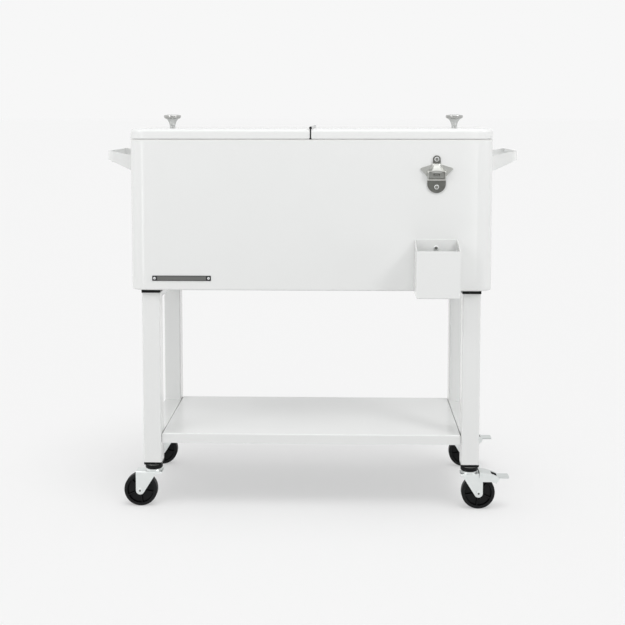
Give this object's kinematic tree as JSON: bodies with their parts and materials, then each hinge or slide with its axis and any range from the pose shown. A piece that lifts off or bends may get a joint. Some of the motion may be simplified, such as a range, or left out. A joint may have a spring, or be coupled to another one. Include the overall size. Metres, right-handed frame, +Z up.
{
  "type": "rolling patio cooler",
  "caption": "Insulated patio cooler chest on a four-legged rolling frame, with half lids hinged at the centre, a bottle opener, a cap catcher and a bottom shelf.",
  "frame": {"origin": "on the floor under the middle of the whole bounding box", "axes": "+X along the chest to the braked casters, +Y to the back, +Z up"},
  "size_m": [0.924, 0.4518, 0.8844],
  "materials": {
    "white_powder_coat": "smooth white powder coat on sheet steel and steel tube",
    "white_plastic": "moulded white polypropylene",
    "foam": "foamed-in insulation, hidden",
    "black_plastic": "moulded black plastic",
    "steel": "plated steel fasteners and pin",
    "knob_metal": "satin nickel-plated knob",
    "opener_metal": "nickel-plated casting",
    "dark_plate": "dark satin plate, blank",
    "zinc_plate": "bright zinc-plated pressed steel",
    "black_wheel": "moulded black wheel"
  },
  "bodies": {
    "cart": {"outer_shell": "white_powder_coat", "bottom_pan": "white_powder_coat", "insulation_foam": "foam", "tub_liner": "white_plastic", "centre_bar": "white_powder_coat", "centre_bar_screws": "steel", "centre_hinge_leaf": "black_plastic", "hinge_pin": "steel", "hinge_end_caps": "black_plastic", "left_handle": "white_powder_coat", "right_handle": "white_powder_coat", "handle_screws": "steel", "bottle_opener": "opener_metal", "opener_screws": "steel", "catcher_screw": "steel", "name_plate": "dark_plate", "name_plate_rivets": "steel", "drain_spout": "white_plastic", "drain_nut": "white_plastic", "left_shelf_rail": "white_powder_coat", "right_shelf_rail": "white_powder_coat", "left_top_rail": "white_powder_coat", "right_top_rail": "white_powder_coat", "leg_top_pads": "black_plastic", "leg_foot_plugs": "black_plastic", "frame_bolts": "steel", "bottom_shelf": "white_powder_coat", "shelf_bolts": "steel", "caster_stems": "steel", "swivel_caps": "black_plastic", "front_left_leg": "white_powder_coat", "front_right_leg": "white_powder_coat", "rear_left_leg": "white_powder_coat", "rear_right_leg": "white_powder_coat"},
    "left_lid": {"left_lid_shell": "white_powder_coat", "left_lid_liner": "white_plastic", "left_lid_foam": "foam", "left_lid_knob": "knob_metal", "left_hinge_leaf": "white_powder_coat"},
    "right_lid": {"right_lid_shell": "white_powder_coat", "right_lid_liner": "white_plastic", "right_lid_foam": "foam", "right_lid_knob": "knob_metal", "right_hinge_leaf": "white_powder_coat"},
    "front_left_caster": {"front_left_fork": "zinc_plate", "front_left_axle": "zinc_plate"},
    "front_left_wheel": {"front_left_wheel": "black_wheel"},
    "front_right_caster": {"front_right_fork": "zinc_plate", "front_right_axle": "zinc_plate"},
    "front_right_wheel": {"front_right_wheel": "black_wheel"},
    "front_right_brake": {"front_right_brake_lever": "zinc_plate"},
    "rear_left_caster": {"rear_left_fork": "zinc_plate", "rear_left_axle": "zinc_plate"},
    "rear_left_wheel": {"rear_left_wheel": "black_wheel"},
    "rear_right_caster": {"rear_right_fork": "zinc_plate", "rear_right_axle": "zinc_plate"},
    "rear_right_wheel": {"rear_right_wheel": "black_wheel"},
    "rear_right_brake": {"rear_right_brake_lever": "zinc_plate"},
    "cap_catcher": {"cap_catcher": "white_powder_coat"},
    "drain_cap": {"drain_cap": "white_plastic"}
  },
  "joints": [
    {"name": "left_lid_hinge", "type": "hinge", "parent": "cart", "child": "left_lid", "pos_m": [0, 0.0344, 0.8554], "axis": [0, 1, 0], "range_deg": [0, 80]},
    {"name": "right_lid_hinge", "type": "hinge", "parent": "cart", "child": "right_lid", "pos_m": [0, 0.0344, 0.8554], "axis": [0, -1, 0], "range_deg": [0, 80]},
    {"name": "front_left_swivel", "type": "hinge", "parent": "cart", "child": "front_left_caster", "pos_m": [-0.356, -0.1206, 0.0814], "axis": [0, 0, 1], "continuous": true},
    {"name": "front_left_roll", "type": "hinge", "parent": "front_left_caster", "child": "front_left_wheel", "pos_m": [-0.386, -0.1206, 0.0375], "axis": [0, 1, 0], "continuous": true},
    {"name": "front_right_swivel", "type": "hinge", "parent": "cart", "child": "front_right_caster", "pos_m": [0.356, -0.1206, 0.0814], "axis": [0, 0, 1], "continuous": true},
    {"name": "front_right_roll", "type": "hinge", "parent": "front_right_caster", "child": "front_right_wheel", "pos_m": [0.376, -0.1206, 0.0375], "axis": [0, 1, 0], "continuous": true},
    {"name": "front_right_brake_press", "type": "hinge", "parent": "front_right_caster", "child": "front_right_brake", "pos_m": [0.386, -0.1206, 0.0768], "axis": [0, 1, 0], "range_deg": [0, 7]},
    {"name": "rear_left_swivel", "type": "hinge", "parent": "cart", "child": "rear_left_caster", "pos_m": [-0.356, 0.1894, 0.0814], "axis": [0, 0, 1], "continuous": true},
    {"name": "rear_left_roll", "type": "hinge", "parent": "rear_left_caster", "child": "rear_left_wheel", "pos_m": [-0.386, 0.1894, 0.0375], "axis": [0, 1, 0], "continuous": true},
    {"name": "rear_right_swivel", "type": "hinge", "parent": "cart", "child": "rear_right_caster", "pos_m": [0.356, 0.1894, 0.0814], "axis": [0, 0, 1], "continuous": true},
    {"name": "rear_right_roll", "type": "hinge", "parent": "rear_right_caster", "child": "rear_right_wheel", "pos_m": [0.376, 0.1894, 0.0375], "axis": [0, 1, 0], "continuous": true},
    {"name": "rear_right_brake_press", "type": "hinge", "parent": "rear_right_caster", "child": "rear_right_brake", "pos_m": [0.386, 0.1894, 0.0768], "axis": [0, 1, 0], "range_deg": [0, 7]},
    {"name": "cap_catcher_lift", "type": "slide", "parent": "cart", "child": "cap_catcher", "axis": [0, 0, 1], "range_m": [0, 0.012]},
    {"name": "drain_cap_turn", "type": "hinge", "parent": "cart", "child": "drain_cap", "pos_m": [-0.2, 0.0944, 0.4774], "axis": [0, 0, 1], "range_deg": [0, 540]}
  ]
}
